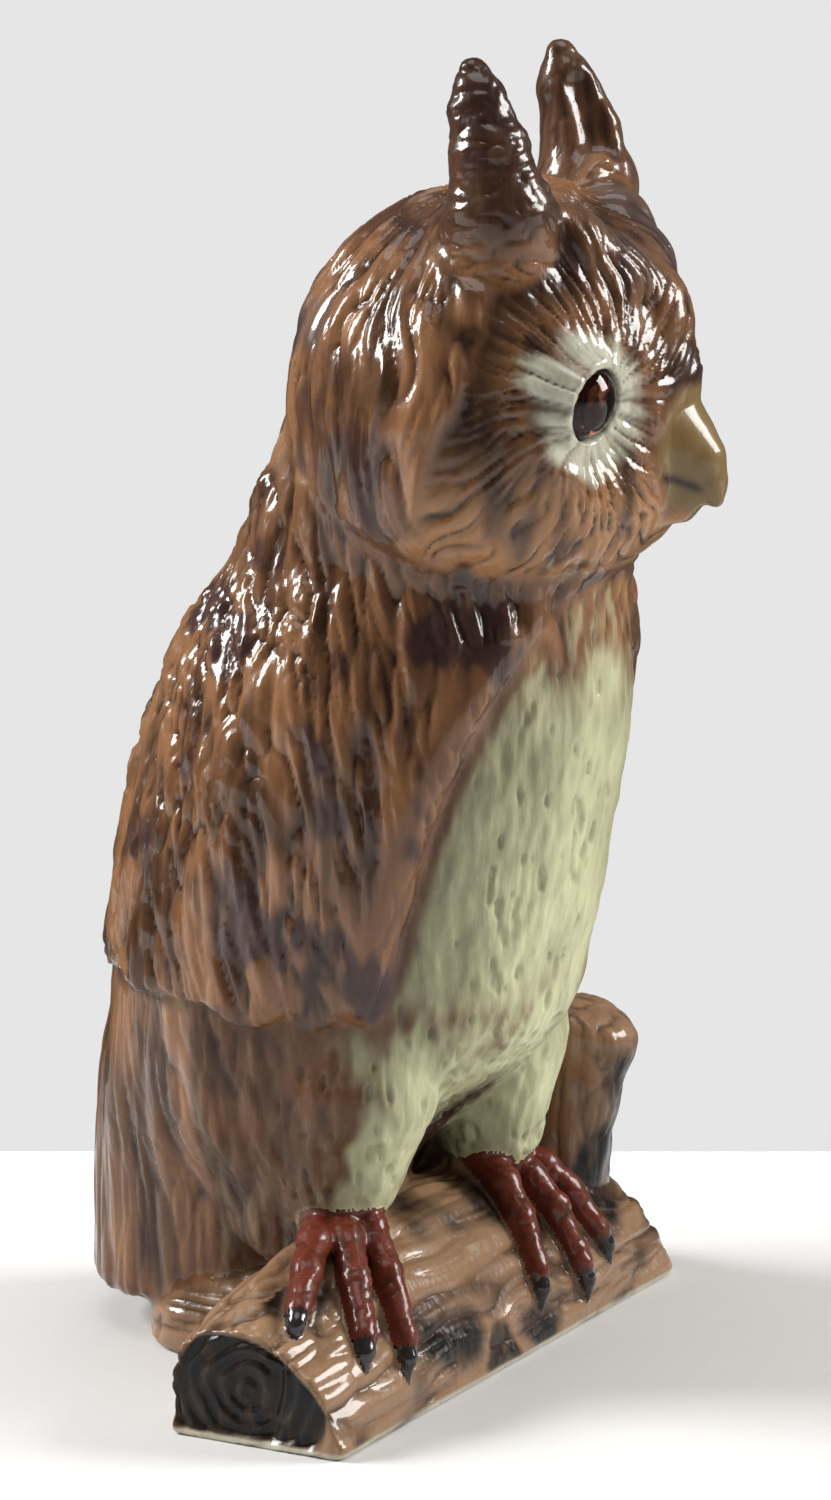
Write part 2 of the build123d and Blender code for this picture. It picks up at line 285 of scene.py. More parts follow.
def earShape(side):
    def shape(x, y, z):
        tuft = inHead(ears["stops"], side, ears["blend"])(x, y, z)
        return carve(tuft, inHead(ears["scoop"], side)(x, y, z), ears["scoopRound"])

    return shape


eyes = {
    "spread": 30.0,
    "reach": 33.6,  # of the back of the glass, in front of the turning line
    "height": 224.0,
    "toeOut": 14.0,
    "lookDown": 14.0,
    "radius": 8.0,
    "dish": 22.0,  # radius of the hollow round the eye
    "dishDepth": 0.2,  # of the hollow, behind the back of the glass
    "socket": 4.6,  # depth of the hole behind the glass
    "play": 0.1,  # between the glass and the clay
    "lidOut": 0.9,  # from the rim of the glass to the middle of the lid
    "lidFlat": 0.3,
    "lidFront": 3.5,
    "lidLength": 3.6,
    "lidRound": 0.77,
}


def eyeFrame(side):  # place and way of an eye
    place = fromHead(side * eyes["spread"], -eyes["reach"], eyes["height"])
    turn = headTurn + side * math.radians(eyes["toeOut"])
    dip = math.radians(eyes["lookDown"])
    way = Vector((math.sin(turn) * math.cos(dip), -math.cos(turn) * math.cos(dip), -math.sin(dip)))
    return place, way


def dishShape(side):
    place, way = eyeFrame(side)
    c = place + way * (eyes["dish"] - eyes["dishDepth"])
    return lambda x, y, z: np.sqrt((x - c.x) ** 2 + (y - c.y) ** 2 + (z - c.z) ** 2) - eyes["dish"]


def eyeMeasures(side):  # along the way of an eye, and out from its middle line
    place, way = eyeFrame(side)

    def measure(x, y, z):
        dx, dy, dz = x - place.x, y - place.y, z - place.z
        along = dx * way.x + dy * way.y + dz * way.z
        return along, np.sqrt(np.maximum(dx * dx + dy * dy + dz * dz - along * along, 0))

    return measure


def socketShape(side):  # a round hole that the eye is set in
    measure = eyeMeasures(side)

    def shape(x, y, z):
        along, out = measure(x, y, z)
        return np.maximum(out - eyes["radius"] - eyes["play"], -eyes["socket"] - along)

    return shape


def lidShape(side):  # a short wall of clay round the glass
    measure = eyeMeasures(side)

    def shape(x, y, z):
        along, out = measure(x, y, z)
        across = np.abs(out - eyes["radius"] - eyes["lidOut"]) - eyes["lidFlat"]
        over = np.abs(along + eyes["lidFront"]) - eyes["lidLength"]
        return np.hypot(np.maximum(across, 0), np.maximum(over, 0)) - eyes["lidRound"]

    return shape


log = {
    # x and height of the top along the log
    "top": [
        (-92, 23),
        (-81, 25.5),
        (-68, 30),
        (-50, 33.5),
        (-28, 36.5),
        (5, 37),
        (30, 36),
        (55, 31),
        (78, 25),
        (90, 20),
    ],
    "crest": 6.0,
    "front": -21.5,
    "back": 21.0,
    "frontSlope": 1.75,
    "backSlope": 3.2,
    "frontScale": 24.0,  # turn the slopes' own measure into millimetres
    "backScale": 20.0,
    "rightEnd": -81.5,
    "rightSlant": 0.05,
    "rightRound": 2.5,
    "leftEnd": 78.0,
    "leftSlant": 0.12,
    "leftRound": 6.0,
    "footRound": 1.5,  # where the wood meets the table
}


def logShape(x, y, z):
    rise = np.maximum(z, 0) / glide(x, log["top"], 1)
    front = np.maximum(log["crest"] - y, 0) / (log["crest"] - log["front"])
    back = np.maximum(y - log["crest"], 0) / (log["back"] - log["crest"])
    a, b = log["frontSlope"], log["backSlope"]
    inFront = y < log["crest"]
    d = np.where(inFront, (front**a + rise**a + 1e-6) ** (1 / a), (back**b + rise**b + 1e-6) ** (1 / b))
    d = (d - 1) * np.where(inFront, log["frontScale"], log["backScale"])
    d = trim(d, log["rightEnd"] - x - log["rightSlant"] * y, log["rightRound"])
    d = trim(d, x - log["leftEnd"] + log["leftSlant"] * z, log["leftRound"])
    return trim(d, -z, log["footRound"])


knot = {
    "start": (-20, 10, 6),
    "end": (-20, 46, 5.5),
    "radii": (17.5, 16.8),
    "flatter": 1.05,
}


def knotShape(x, y, z):
    d = roll(x, y, z * knot["flatter"], knot["start"], knot["end"], *knot["radii"])
    return trim(d, -z, log["footRound"])


branch = {
    "stops": [(61, 8, 18, 16), (60, 2, 32, 10.5), (59, -4, 47, 8.2), (58, -8, 62, 9), (58, -9, 72, 9)],
    "blend": 6,
    "cutPlace": (60, -9, 67.5),  # a point in the sawn face
    "cutWay": (0.05, -0.36, 0.93),  # the way the sawn face looks
    "cutRound": 5,
}


def branchShape(x, y, z):
    d = chain(x, y, z, branch["stops"], branch["blend"])
    (cutX, cutY, cutZ), (wayX, wayY, wayZ) = branch["cutPlace"], branch["cutWay"]
    pastCut = (z - cutZ) * wayZ + (y - cutY) * wayY + (x - cutX) * wayX
    return trim(d, pastCut, branch["cutRound"])


legs = {
    "spread": {-1: 31.5, 1: 27.5},
    "ankleY": {-1: 9.0, 1: 3.0},
    "ankle": (37, 7),  # height and radius
    "shin": (50, 10),
    "knee": (68, 15.5),
    "thigh": (25, 7, 92, 22),
    "blend": 8,
}
toes = {
    # name, x of the tip, height of the tip
    "tips": {
        -1: [("inner", -47, 16), ("middle", -59, 20), ("outer", -69, 27)],
        1: [("inner", 12.5, 16), ("middle", 31.5, 13), ("outer", 44.5, 17)],
    },
    "radius": 4.1,
    "tipRadius": 3.2,
    "start": 4.0,
    "rootSpread": {"inner": -4.5, "middle": 0.0, "outer": 4.5},
    "lift": 1.6,  # of the toe's middle line over the log
    "arch": 2.4,
    "claw": 7.5,
    "clawRadii": (2.7, 2.1, 0.9),
    "clawDrop": (0.6, 2.6),
}
sides = {-1: "right", 1: "left"}


def legShape(side):
    lx = side * legs["spread"][side]
    ankle = legs["ankleY"][side]
    thighX, *thigh = legs["thigh"]
    stops = [
        (side * thighX, *thigh),
        (lx * 0.96, 2 + ankle * 0.3, *legs["knee"]),
        (lx, ankle * 0.8, *legs["shin"]),
        (lx, ankle, *legs["ankle"]),
    ]
    return chainShape(stops, legs["blend"])


def logTop(x, y):  # height of the log at x and y
    h = float(glide(x, log["top"], 1))
    if y < log["crest"]:
        u, a = (log["crest"] - y) / (log["crest"] - log["front"]), log["frontSlope"]
    else:
        u, a = (y - log["crest"]) / (log["back"] - log["crest"]), log["backSlope"]
    return h * max(1 - u**a, 0) ** (1 / a)


def logFront(x, z):  # Y of the log's front face at x and height z
    h = float(glide(x, log["top"], 1))
    a = log["frontSlope"]
    return log["crest"] - (log["crest"] - log["front"]) * max(1 - (z / h) ** a, 0) ** (1 / a)


def toeStops(side, name, tipX, tipHeight):
    lx, ankle = side * legs["spread"][side], legs["ankleY"][side]
    tip = Vector((tipX, logFront(tipX, tipHeight), tipHeight))
    way = Vector((tip.x - lx, tip.y - ankle, 0)).normalized()
    root = Vector((lx + side * toes["rootSpread"][name], ankle, 0)) + way * toes["start"]
    stops = []
    for t in (0, 0.33, 0.66, 1):
        x, y = root.x + (tip.x - root.x) * t, root.y + (tip.y - root.y) * t
        lift = toes["lift"] + toes["arch"] * math.sin(math.pi * min(t + 0.12, 1))
        radius = toes["radius"] + (toes["tipRadius"] - toes["radius"]) * t
        stops.append((x, y - 0.6 * t, logTop(x, y) + lift, radius))
    return stops


def clawStops(stops):
    tip, before = Vector(stops[-1][:3]), Vector(stops[-2][:3])
    way = (tip - before).normalized()
    midDrop, endDrop = toes["clawDrop"]
    mid = tip + way * toes["claw"] * 0.5 + Vector((0, 0, -midDrop))
    end = tip + way * toes["claw"] * 0.9 + Vector((0, 1.2, -endDrop))
    return [(*spot, radius) for spot, radius in zip((tip + way * 1.2, mid, end), toes["clawRadii"])]


flanks = {
    "stops": [(30, 26, 86, 20), (30, 27, 62, 15), (27, 27, 36, 10)],
    "blend": 6,
    "seat": [(0, 30, 70, 24), (0, 27, 44, 15)],
    "seatBlend": 5,
}

# every lump of clay: its piece, its shape, the box it is in, and how softly it joins
lumps = []


def addLump(piece, shape, low, high, blend):
    lumps.append({"piece": piece, "shape": shape, "low": low, "high": high, "blend": blend})


def boxOf(stops, pad=6, turned=False):
    corners = []
    for s in stops:
        p = fromHead(*s[:3]) if turned else Vector(s[:3])
        corners += [[c - s[3] - pad for c in p], [c + s[3] + pad for c in p]]
    corners = np.array(corners)
    return corners.min(0), corners.max(0)


def mirrored(stops, side):
    return [(side * s[0], *s[1:]) for s in stops]


rooms = {
    # the low and the high corner of the box that each large lump is in
    "torso": ((-66, -50, 0), (66, 100, 225)),
    "wing": ((-72, -50, 60), (72, 100, 205)),
    "head": ((-60, -70, 165), (60, 50, 275)),
    "nape": ((-50, -10, 140), (50, 60, 246)),
    "seat": ((-36, -5, 16), (36, 64, 104)),
    "log": ((-90, -32, -6), (90, 32, 48)),
    "knot": ((-46, -4, -6), (6, 74, 34)),
    "branch": ((38, -28, 4), (86, 34, 84)),
}


def sideRoom(side, back, front, foot, top):  # the box of a thigh or a flank
    middle = side * 27
    return (middle - 30, back, foot), (middle + 30, front, top)


addLump("torso_shell", torsoShape, *rooms["torso"], 1)
addLump("wing", wingShape, *rooms["wing"], 1.2)
addLump("head_shell", headShape, *rooms["head"], 10)
addLump("head_shell", chainShape(nape["stops"], nape["blend"]), *rooms["nape"], 8)
for side in sides:
    ridgeRoom = boxOf(mirrored(brow["ridge"], side), 10, True)
    addLump("head_shell", inHead(brow["ridge"], side, 4), *ridgeRoom, 7)
addLump("head_shell", inHead(brow["bridge"], 1, 4), *boxOf(brow["bridge"], 10, True), 7)
for side, word in sides.items():
    addLump("ear_tuft_" + word, earShape(side), *boxOf(mirrored(ears["stops"], side), 10, True), 7)
addLump("head_shell", inHead(beak["jaw"], 1, 4), *boxOf(beak["jaw"], 8, True), 6)
addLump("beak", inHead(beak["stops"], 1, 3), *boxOf(beak["stops"], 6, True), 2)
for side, word in sides.items():
    place, way = eyeFrame(side)
    reach = Vector((24, 24, 24))
    addLump("carve", dishShape(side), place - reach, place + reach, 6)
    addLump("head_shell", lidShape(side), place - reach, place + reach, 3.5)
    addLump("carve", socketShape(side), place - reach * 0.6, place + reach * 0.6, 0.6)
for side in sides:
    flank = chainShape(mirrored(flanks["stops"], side), flanks["blend"])
    addLump("torso_shell", flank, *sideRoom(side, -5, 60, 16, 112), 8)
addLump("torso_shell", chainShape(flanks["seat"], flanks["seatBlend"]), *rooms["seat"], 8)
for side, word in sides.items():
    addLump("leg_" + word, legShape(side), *sideRoom(side, -34, 40, 24, 122), 9)
addLump("log_base", logShape, *rooms["log"], 3)
addLump("knot_stub", knotShape, *rooms["knot"], 3)
addLump("branch_stub", branchShape, *rooms["branch"], 6)
for side, word in sides.items():
    for name, tipX, tipHeight in toes["tips"][side]:
        stops = toeStops(side, name, tipX, tipHeight)
        claw = clawStops(stops)
        addLump(f"toe_{word}_{name}", chainShape(stops, 1.5), *boxOf(stops, 5), 1.2)
        addLump(f"claw_{word}_{name}", chainShape(claw, 1), *boxOf(claw, 5), 0.5)

for lump in lumps:
    window = tuple(
        slice(*np.searchsorted(axis, (lo, hi))) for axis, lo, hi in zip(steps, lump["low"], lump["high"])
    )
    x, y, z = (axis[part] for axis, part in zip(steps, window))
    d = lump["shape"](x[:, None, None], y[None, :, None], z[None, None, :])
    if lump["piece"] == "carve":
        field[window] = carve(field[window], d, lump["blend"])
    else:
        field[window] = join(field[window], np.minimum(d, 60), lump["blend"])
np.clip(field, -clay["band"], clay["band"], out=field)
print("clay field", field.shape)

grid = openvdb.FloatGrid(clay["band"])
grid.copyFromArray(field)
points, quads = grid.convertToQuads(isovalue=0.0)
points = points * clay["voxel"] + np.array([s[0] for s in steps])
print("clay skin", len(points), "points", len(quads), "quads", points.min(0), points.max(0))

x, y, z = points.T
hx, hy = toHead(x, y)


def pointNormals(spots):  # the way out of the skin at each point
    corner = spots[quads]
    face = np.cross(corner[:, 2] - corner[:, 0], corner[:, 3] - corner[:, 1])
    sums = [np.bincount(quads.ravel(), np.repeat(face[:, i], 4), len(spots)) for i in range(3)]
    way = np.stack(sums, 1)
    return way / np.maximum(np.linalg.norm(way, axis=1, keepdims=True), 1e-9)


out = pointNormals(points)

# which lump each point of the skin belongs to
nearest = np.full(len(points), 1e3)
owner = np.zeros(len(points), dtype=int)
for index, lump in enumerate(lumps):
    if lump["piece"] == "carve":
        continue
    near = np.flatnonzero(np.all((points > lump["low"]) & (points < lump["high"]), axis=1))
    away = lump["shape"](x[near], y[near], z[near])
    if lump["piece"] == "beak":
        away -= beak["horny"]
    better = away < nearest[near]
    nearest[near[better]] = away[better]
    owner[near[better]] = index
names = np.array([lump["piece"] for lump in lumps])[owner]
names[(names == "wing") & (x < 0)] = "wing_right"
names[names == "wing"] = "wing_left"
tail = {"top": 86, "front": 44, "slant": 0.1}
inTail = (names == "torso_shell") & (z < tail["top"]) & (y > tail["front"] - tail["slant"] * z)
names[inTail] = "tail"
print("clay pieces", len(set(names)))


def scatter(i, j, k, seed):  # an even random number for each cell of a lattice
    n = (i * 374761393 + j * 668265263 + k * 1274126177 + seed * 974634777) & 0xFFFFFFFF
    n = ((n ^ (n >> 13)) * 1103515245) & 0xFFFFFFFF
    n = ((n ^ (n >> 15)) * 2246822519) & 0xFFFFFFFF
    return (n ^ (n >> 16)) / 0x7FFFFFFF - 1


def cells(u, v, w, seed):  # random numbers on a lattice, smoothly joined
    cell = [np.floor(c).astype(np.int64) for c in (u, v, w)]
    part = [c - whole for c, whole in zip((u, v, w), cell)]
    soft = [t * t * (3 - 2 * t) for t in part]
    total = 0
    for i in (0, 1):
        for j in (0, 1):
            for k in (0, 1):
                share = 1
                for t, far in zip(soft, (i, j, k)):
                    share = share * (t if far else 1 - t)
                total = total + share * scatter(cell[0] + i, cell[1] + j, cell[2] + k, seed)
    return total


# two lattices at a slant, so that no square pattern shows
leans = ((0.7, (1, 2, 3)), (2.1, (3, -1, 2)))
slants = [np.array(Matrix.Rotation(angle, 3, Vector(axis))) for angle, axis in leans]


def wander(u, v, w, seed=0):  # smooth random waves, from -1 to 1
    spots = np.stack(np.broadcast_arrays(u, v, w))
    first, second = (cells(*(slant @ spots), seed + 500 * k) for k, slant in enumerate(slants))
    return np.clip(0.72 * (first + second), -1, 1)


def furrows(u, v, w, seed=0):  # rounded strokes between sharp valleys: 0 in a valley, about 1 on a ridge
    wide = np.abs(wander(u, v, w, seed)) ** 0.7
    fine = np.abs(wander(u * 2.1, v * 2.1, w * 1.6, seed + 1)) ** 0.7
    return np.clip(1.25 * (0.66 * wide + 0.34 * fine), 0, 1)


def scaled(kind, u, v, w):
    wide, deep, tall = waves[kind]
    return u / wide, v / deep, w / tall


turns = np.bincount(quads.ravel(), minlength=len(points))


def relax(values, rounds):  # evens out values over the skin
    for _ in range(rounds):
        values = np.bincount(quads.ravel(), np.repeat(values[quads].mean(1), 4), len(points)) / turns
    return values


strokes = {
    # depth of each kind of stroke, in millimetres
    "feather": 2.3,
    "mane": 2.2,
    "maneStep": 1.8,
    "face": 1.3,
    "ring": 1.0,
    "tail": 2.6,
    "neck": 1.5,
    "belly": 0.5,
    "bark": 2.0,
    "bigWaves": 1.3,
    "fineTail": 0.7,
    "nick": 0.7,
    "ringRim": 0.8,
    "nearEar": 0.825,
    "farEar": 0.55,
    "knot": 1.2,
    "branch": 1.0,
    "growthRing": 0.8,
    "endSink": 1.2,
    "endCrack": 1.6,
    "toe": 0.5,
    "most": 2.6,  # in or out of the clay, all together
}
waves = {
    # how far apart the waves are in X, Y and Z
    "bend": (17, 17, 24),
    "feather": (4.0, 4.0, 20),
    "bigWaves": (13, 13, 22),
    "flutes": (8.5, 8.5, 110),
    "fineTail": (3.2, 3.2, 26),
    "pits": (2.0, 2.0, 6.0),
    "crowded": (9, 9, 12),
    "nicks": (1.6, 1.6, 4.6),
    "belly": (6, 6, 12),
    "sway": (20, 20, 20),
    "maneEdge": (9, 9, 7),
    "sweep": (11, 11, 11),
    "ringRim": (8, 8, 8),
    "nearEar": (6, 6, 2.6),
    "farEar": (3, 3, 18),
    "bark": (60, 4.6, 4.6),
    "knot": (3.6, 24, 3.2),
    "branch": (4.5, 4.5, 24),
    "toe": (6, 2.6, 2.6),
    "cloud": (11, 11, 13),
    "streak": (5.5, 5.5, 34),
    "bigCloud": (24, 24, 30),
    "blots": (13, 13, 14),
    "greyWaves": (13, 13, 20),
    "patches": (15, 15, 15),
}
raised = np.zeros(len(points))
colourWords = ("tan", "honey", "umber", "plum", "cream", "slate", "soot", "valley")
tone = {word: np.zeros(len(points)) for word in colourWords}


def dab(word, amount):
    tone[word] = np.maximum(tone[word], np.clip(amount, 0, 1))


def press(where, flow, depth, valley=1.0):  # works strokes into the clay, and marks their valleys
    global raised
    raised = raised + where * (flow - 0.55) * depth
    tone["valley"] = np.maximum(tone["valley"], where * (1 - smoothStep(flow, 0.08, 0.5)) * valley)


isLabel = {word: (names == word).astype(float) for word in set(names)}
onHead = smoothStep(torsoShape(x, y, z) - headShape(x, y, z), -3, 3) * (z > 165)
onHead = np.maximum(onHead, isLabel["head_shell"] * (z > 200))
onWing = isLabel["wing_right"] + isLabel["wing_left"]
inFromEdge = y - wingEdge(z)

# body: the strokes run down and a little back
bend = 3.0 * wander(*scaled("bend", x, y, z), 3)
bendToo = 3.0 * wander(*scaled("bend", x, y, z), 4)
feather = furrows(*scaled("feather", x + bend, y + bendToo - 0.15 * z, z), 11)
edgeBand = 1 - 0.85 * np.exp(-(((inFromEdge - 3.5) / 4.5) ** 2)) * (z < 172)
lowBody = smoothStep(-z, -88, -76)
upper = onWing * (1 - lowBody) * (1 - onHead)
press(upper * edgeBand, feather, strokes["feather"])
raised += upper * edgeBand * strokes["bigWaves"] * wander(*scaled("bigWaves", x, y, z), 21)
shoulders = smoothStep(z, 150, 180) * (1 - onHead) * (1 - onWing) * isLabel["torso_shell"]
press(shoulders, feather, strokes["neck"])

# tail and flanks: long upright flutes
flutes = furrows(*scaled("flutes", x + 0.6 * bend, y + 0.6 * bendToo, z), 15)
backPart = np.maximum(isLabel["tail"], isLabel["torso_shell"] * smoothStep(y, 6, 16) * (z < 90))
press(backPart, flutes, strokes["tail"])
press(backPart, furrows(*scaled("fineTail", x, y, z), 17), strokes["fineTail"], 0.4)

# belly and thighs: short upright marks and small pits
legPart = isLabel["leg_right"] + isLabel["leg_left"]
bellyPart = (isLabel["torso_shell"] + legPart) * (1 - backPart) * (1 - shoulders)
pits = wander(*scaled("pits", x, y, z), 31)
crowded = wander(*scaled("crowded", x, y, z), 36)
nicks = smoothStep(wander(*scaled("nicks", x, y, z), 35) + 0.4 * crowded, 0.35, 0.8)
raised += bellyPart * strokes["belly"] * (0.8 * pits + wander(*scaled("belly", x, y, z), 32))
raised -= bellyPart * strokes["nick"] * nicks
tone["valley"] = np.maximum(tone["valley"], bellyPart * 0.3 * nicks * (0.6 + 0.4 * pits))

# head: the mane runs from the crown down the back, the face strokes run out from the eyes
mane = {
    "crownY": -2,  # the mane runs out from here on the crown
    "crownHeight": 262,
    "strands": 11,
    "strandLength": 22,
    "start": -19,  # Y of its front edge, and how that edge runs back lower down
    "startHeight": 255,
    "startSlope": 0.31,
}
turnAbout = np.arctan2(hy - mane["crownY"], hx)
down = np.sqrt(hx**2 + (hy - mane["crownY"]) ** 2) + (mane["crownHeight"] - z)
sway = 0.10 * wander(*scaled("sway", hx, hy, z), 5)
strands, strandTurn = mane["strands"], turnAbout + sway
maneFlow = furrows(
    np.cos(strandTurn) * strands, np.sin(strandTurn) * strands, down / mane["strandLength"], 41
)
below = mane["startHeight"] - np.minimum(z, mane["startHeight"])
maneStart = mane["start"] + below * mane["startSlope"]
maneEdge = wander(*scaled("maneEdge", hx, hy, z), 44)
inMane = smoothStep(hy - maneStart - 2.5 * maneEdge, -1.5, 2.5)
skull = onHead * isLabel["head_shell"]
press(skull * inMane, maneFlow, strokes["mane"])
raised += skull * inMane * strokes["maneStep"] * (1 - smoothStep(hy - maneStart, 8, 26))

sideSign = np.where(hx < 0, -1, 1)
eyeOut = np.zeros(len(points))
eyeTurn = np.zeros(len(points))
for side in sides:
    place, way = eyeFrame(side)
    across = Vector((0, 0, 1)).cross(way).normalized()
    upward = way.cross(across)
    away = points - np.array(place)
    u, v = away @ np.array(across), away @ np.array(upward)
    mine = sideSign == side
    eyeOut[mine] = np.hypot(u, v)[mine]
    eyeTurn[mine] = np.arctan2(v, u * side)[mine]
face = skull * (1 - inMane)
sweep = eyeTurn + 0.012 * eyeOut + 0.12 * wander(*scaled("sweep", hx, hy, z), 6)
disc = {
    "rays": 6.5,  # more is finer
    "rayLength": 30,
    "edge": (12.5, 16.5),  # from the middle of the eye
    "faceRays": 12,
    "faceLength": 10,
}
faceRays, rays = disc["faceRays"], disc["rays"]
faceFlow = furrows(np.cos(sweep) * faceRays, np.sin(sweep) * faceRays, eyeOut / disc["faceLength"], 51)
ringFlow = furrows(np.cos(eyeTurn) * rays, np.sin(eyeTurn) * rays, eyeOut / disc["rayLength"], 53)
uneven = wander(np.cos(eyeTurn) * 3, np.sin(eyeTurn) * 3, sideSign * 1.0, 54)
inRing = 1 - smoothStep(eyeOut - 2.6 * (ringFlow - 0.5) - 1.8 * uneven, *disc["edge"])
inEye = 1 - smoothStep(eyeOut, 8.6, 10)
smoothCheek = smoothStep(-hy, 12, 24) + (1 - smoothStep(z, 200, 225))
press(face * (1 - inRing) * np.clip(0.35 + 0.65 * smoothCheek, 0, 1), faceFlow, strokes["face"])
press(face * inRing * (1 - inEye), ringFlow, strokes["ring"], 0.7)
ringRim = np.exp(-(((eyeOut - 17) / 3) ** 2))
raised += face * strokes["ringRim"] * ringRim * (wander(*scaled("ringRim", hx, hy, z), 57) + 0.4)

# ears: ridges across the right one, upright strokes on the left one
acrossEar = furrows(*scaled("nearEar", x, y, z + bend), 61)
alongEar = furrows(*scaled("farEar", x, y, z + bend), 61)
press(isLabel["ear_tuft_right"], acrossEar, strokes["nearEar"], 0.8)
press(isLabel["ear_tuft_left"], alongEar, strokes["farEar"], 0.8)

# wood: bark runs along the log, rings on its cut end
bark = furrows(*scaled("bark", x + 3 * bend, y + bendToo, z + bend), 71)
sawn = {"middle": (2, 12), "flatter": 0.8, "reach": (16.0, 18.0), "rings": 1.9, "crackY": -3}
endFace = isLabel["log_base"] * smoothStep(-out[:, 0], 0.7, 0.9) * (x < -70)
press(isLabel["log_base"] * (1 - endFace), bark, strokes["bark"], 0.8)
press(isLabel["knot_stub"], furrows(*scaled("knot", x, y, z), 73), strokes["knot"], 0.8)
press(isLabel["branch_stub"], furrows(*scaled("branch", x, y, z), 75), strokes["branch"], 0.7)
ringY, ringZ = sawn["middle"]
ringOut = np.hypot((y - ringY) * sawn["flatter"], z - ringZ + 1.5 * bend)
ringOut = ringOut + 1.2 * wander(y / 6, z / 6, x / 9, 77)
endIn = endFace * smoothStep(-ringOut, -sawn["reach"][1], -sawn["reach"][0])
press(endIn, 0.5 + 0.5 * np.sin(ringOut * sawn["rings"]), strokes["growthRing"], 0.0)
crack = np.exp(-(((y - sawn["crackY"] + 0.15 * z) / 1.6) ** 2))
raised -= endIn * strokes["endSink"] + endIn * strokes["endCrack"] * crack

for side, word in sides.items():
    for name, _, _ in toes["tips"][side]:
        press(isLabel[f"toe_{word}_{name}"], furrows(*scaled("toe", x, y, z), 81), strokes["toe"], 0.8)

# airbrushed colours, and painted shade
airbrushAndShade = {
    # how strongly each is laid on, from 0 to 1
    "streaks": 0.8,
    "clouds": 0.62,
    "blots": 0.85,
    "maneBlots": 0.7,
    "wingFront": 0.25,
    "tailFoot": 0.4,
    "chestGaps": 0.35,
    # painted shade on the belly towards the wing
    "bellyShade": 0.6,
    "bellyClouds": 0.22,
    "thighBack": 0.75,
    "underWing": 0.55,
    "flutes": 0.2,
    "backStreaks": 0.6,
    "ringLeast": 0.45,
    "foreheadLess": 0.7,
    "ringEdge": 0.5,
    "chin": 0.8,
    "chest": 0.5,
    "maneGrey": 0.4,
    # painted shadow under the head
    "shadowUnderHead": 0.35,
    "lid": 0.9,
    "brow": 0.85,
    "ears": {1: 0.35, -1: 0.8},
    "earTips": 0.2,
    "earPlum": 0.35,
    "beakRoot": 0.35,
    "logPatches": 0.85,
    "branchPatch": 0.95,
    "scorch": 0.95,
    "knot": 0.5,
    "logFoot": 0.9,
}
cloud = wander(*scaled("cloud", x, y, z), 91)
streak = wander(*scaled("streak", x + bend, y + bendToo, z), 92)
bigCloud = wander(*scaled("bigCloud", x, y, z), 94)
onTorso, onTail, onHeadPiece = isLabel["torso_shell"], isLabel["tail"], isLabel["head_shell"]
brownPart = np.clip(onWing + onTail + onHeadPiece, 0, 1)
onTufts = isLabel["ear_tuft_right"] + isLabel["ear_tuft_left"]
dab("tan", np.clip(brownPart + onTufts, 0, 1))
dab("umber", brownPart * smoothStep(streak + 0.4 * cloud, -0.05, 0.7) * airbrushAndShade["streaks"])
dab("umber", (onWing + onTail) * smoothStep(bigCloud + 0.3 * streak, -0.1, 0.6) * airbrushAndShade["clouds"])
blots = wander(*scaled("blots", x, y, z), 96) + 0.3 * pits
blotted = onWing * (z > 80) + onHeadPiece * inMane * airbrushAndShade["maneBlots"]
dab("plum", blotted * smoothStep(blots, 0.2, 0.55) * airbrushAndShade["blots"])
dab("umber", onWing * smoothStep(-inFromEdge, -22, -6) * airbrushAndShade["wingFront"] * (1 + cloud))
dab("umber", onTail * smoothStep(-z, -24, -8) * airbrushAndShade["tailFoot"])

# chest and belly
toBrown = smoothStep(z + 7 * cloud + 5 * pits, 153, 168)
dab("tan", onTorso * toBrown * (1 - airbrushAndShade["chestGaps"] * smoothStep(pits, 0, 0.6)))
dab("tan", backPart * onTorso * smoothStep(y, 7, 15))
dab("tan", onTorso * smoothStep(inFromEdge, -4, -1))
dab("tan", onTorso * smoothStep(y, 4, 10))
dab("tan", onTorso * relax(onWing + onTail + onHeadPiece, 3) * 5)
# painted shade: the belly is darkened towards the leading edge of the wing
shadeFromWing = smoothStep(inFromEdge + 5 * cloud + 3 * pits, -34, -2)
dab("umber", bellyPart * shadeFromWing * airbrushAndShade["bellyShade"])
dab("umber", bellyPart * smoothStep(cloud + 0.5 * pits, 0.3, 1.0) * airbrushAndShade["bellyClouds"])
turnedBack = np.sign(x) * out[:, 0] * 0.5 + out[:, 1] * 0.866  # how far a point faces outward and back
lowPart = np.clip(legPart + onTorso * smoothStep(-z, -96, -86), 0, 1)
ragged = turnedBack + 0.35 * cloud + 0.2 * pits + 0.012 * (z - 60)
dab("tan", lowPart * smoothStep(ragged, -0.25, 0.25))
streaked = turnedBack + 0.4 * cloud + 0.3 * streak
dab("umber", lowPart * smoothStep(streaked, -0.05, 0.6) * airbrushAndShade["thighBack"])
dab("umber", onTorso * (z < 92) * smoothStep(y + 4 * cloud, 6, 14) * airbrushAndShade["underWing"])
# painted shade in the recess low on the belly between the legs
shadeBetweenLegs = np.exp(-((x / 15) ** 2)) * (z < 74)
dab("umber", (onTorso + legPart) * smoothStep(-z, -74, -60) * shadeBetweenLegs)
onFlutes = backPart * onTorso * smoothStep(flutes, 0.35, 0.9) * airbrushAndShade["flutes"]
dab("umber", onFlutes + backPart * smoothStep(streak, 0.1, 0.7) * airbrushAndShade["backStreaks"])

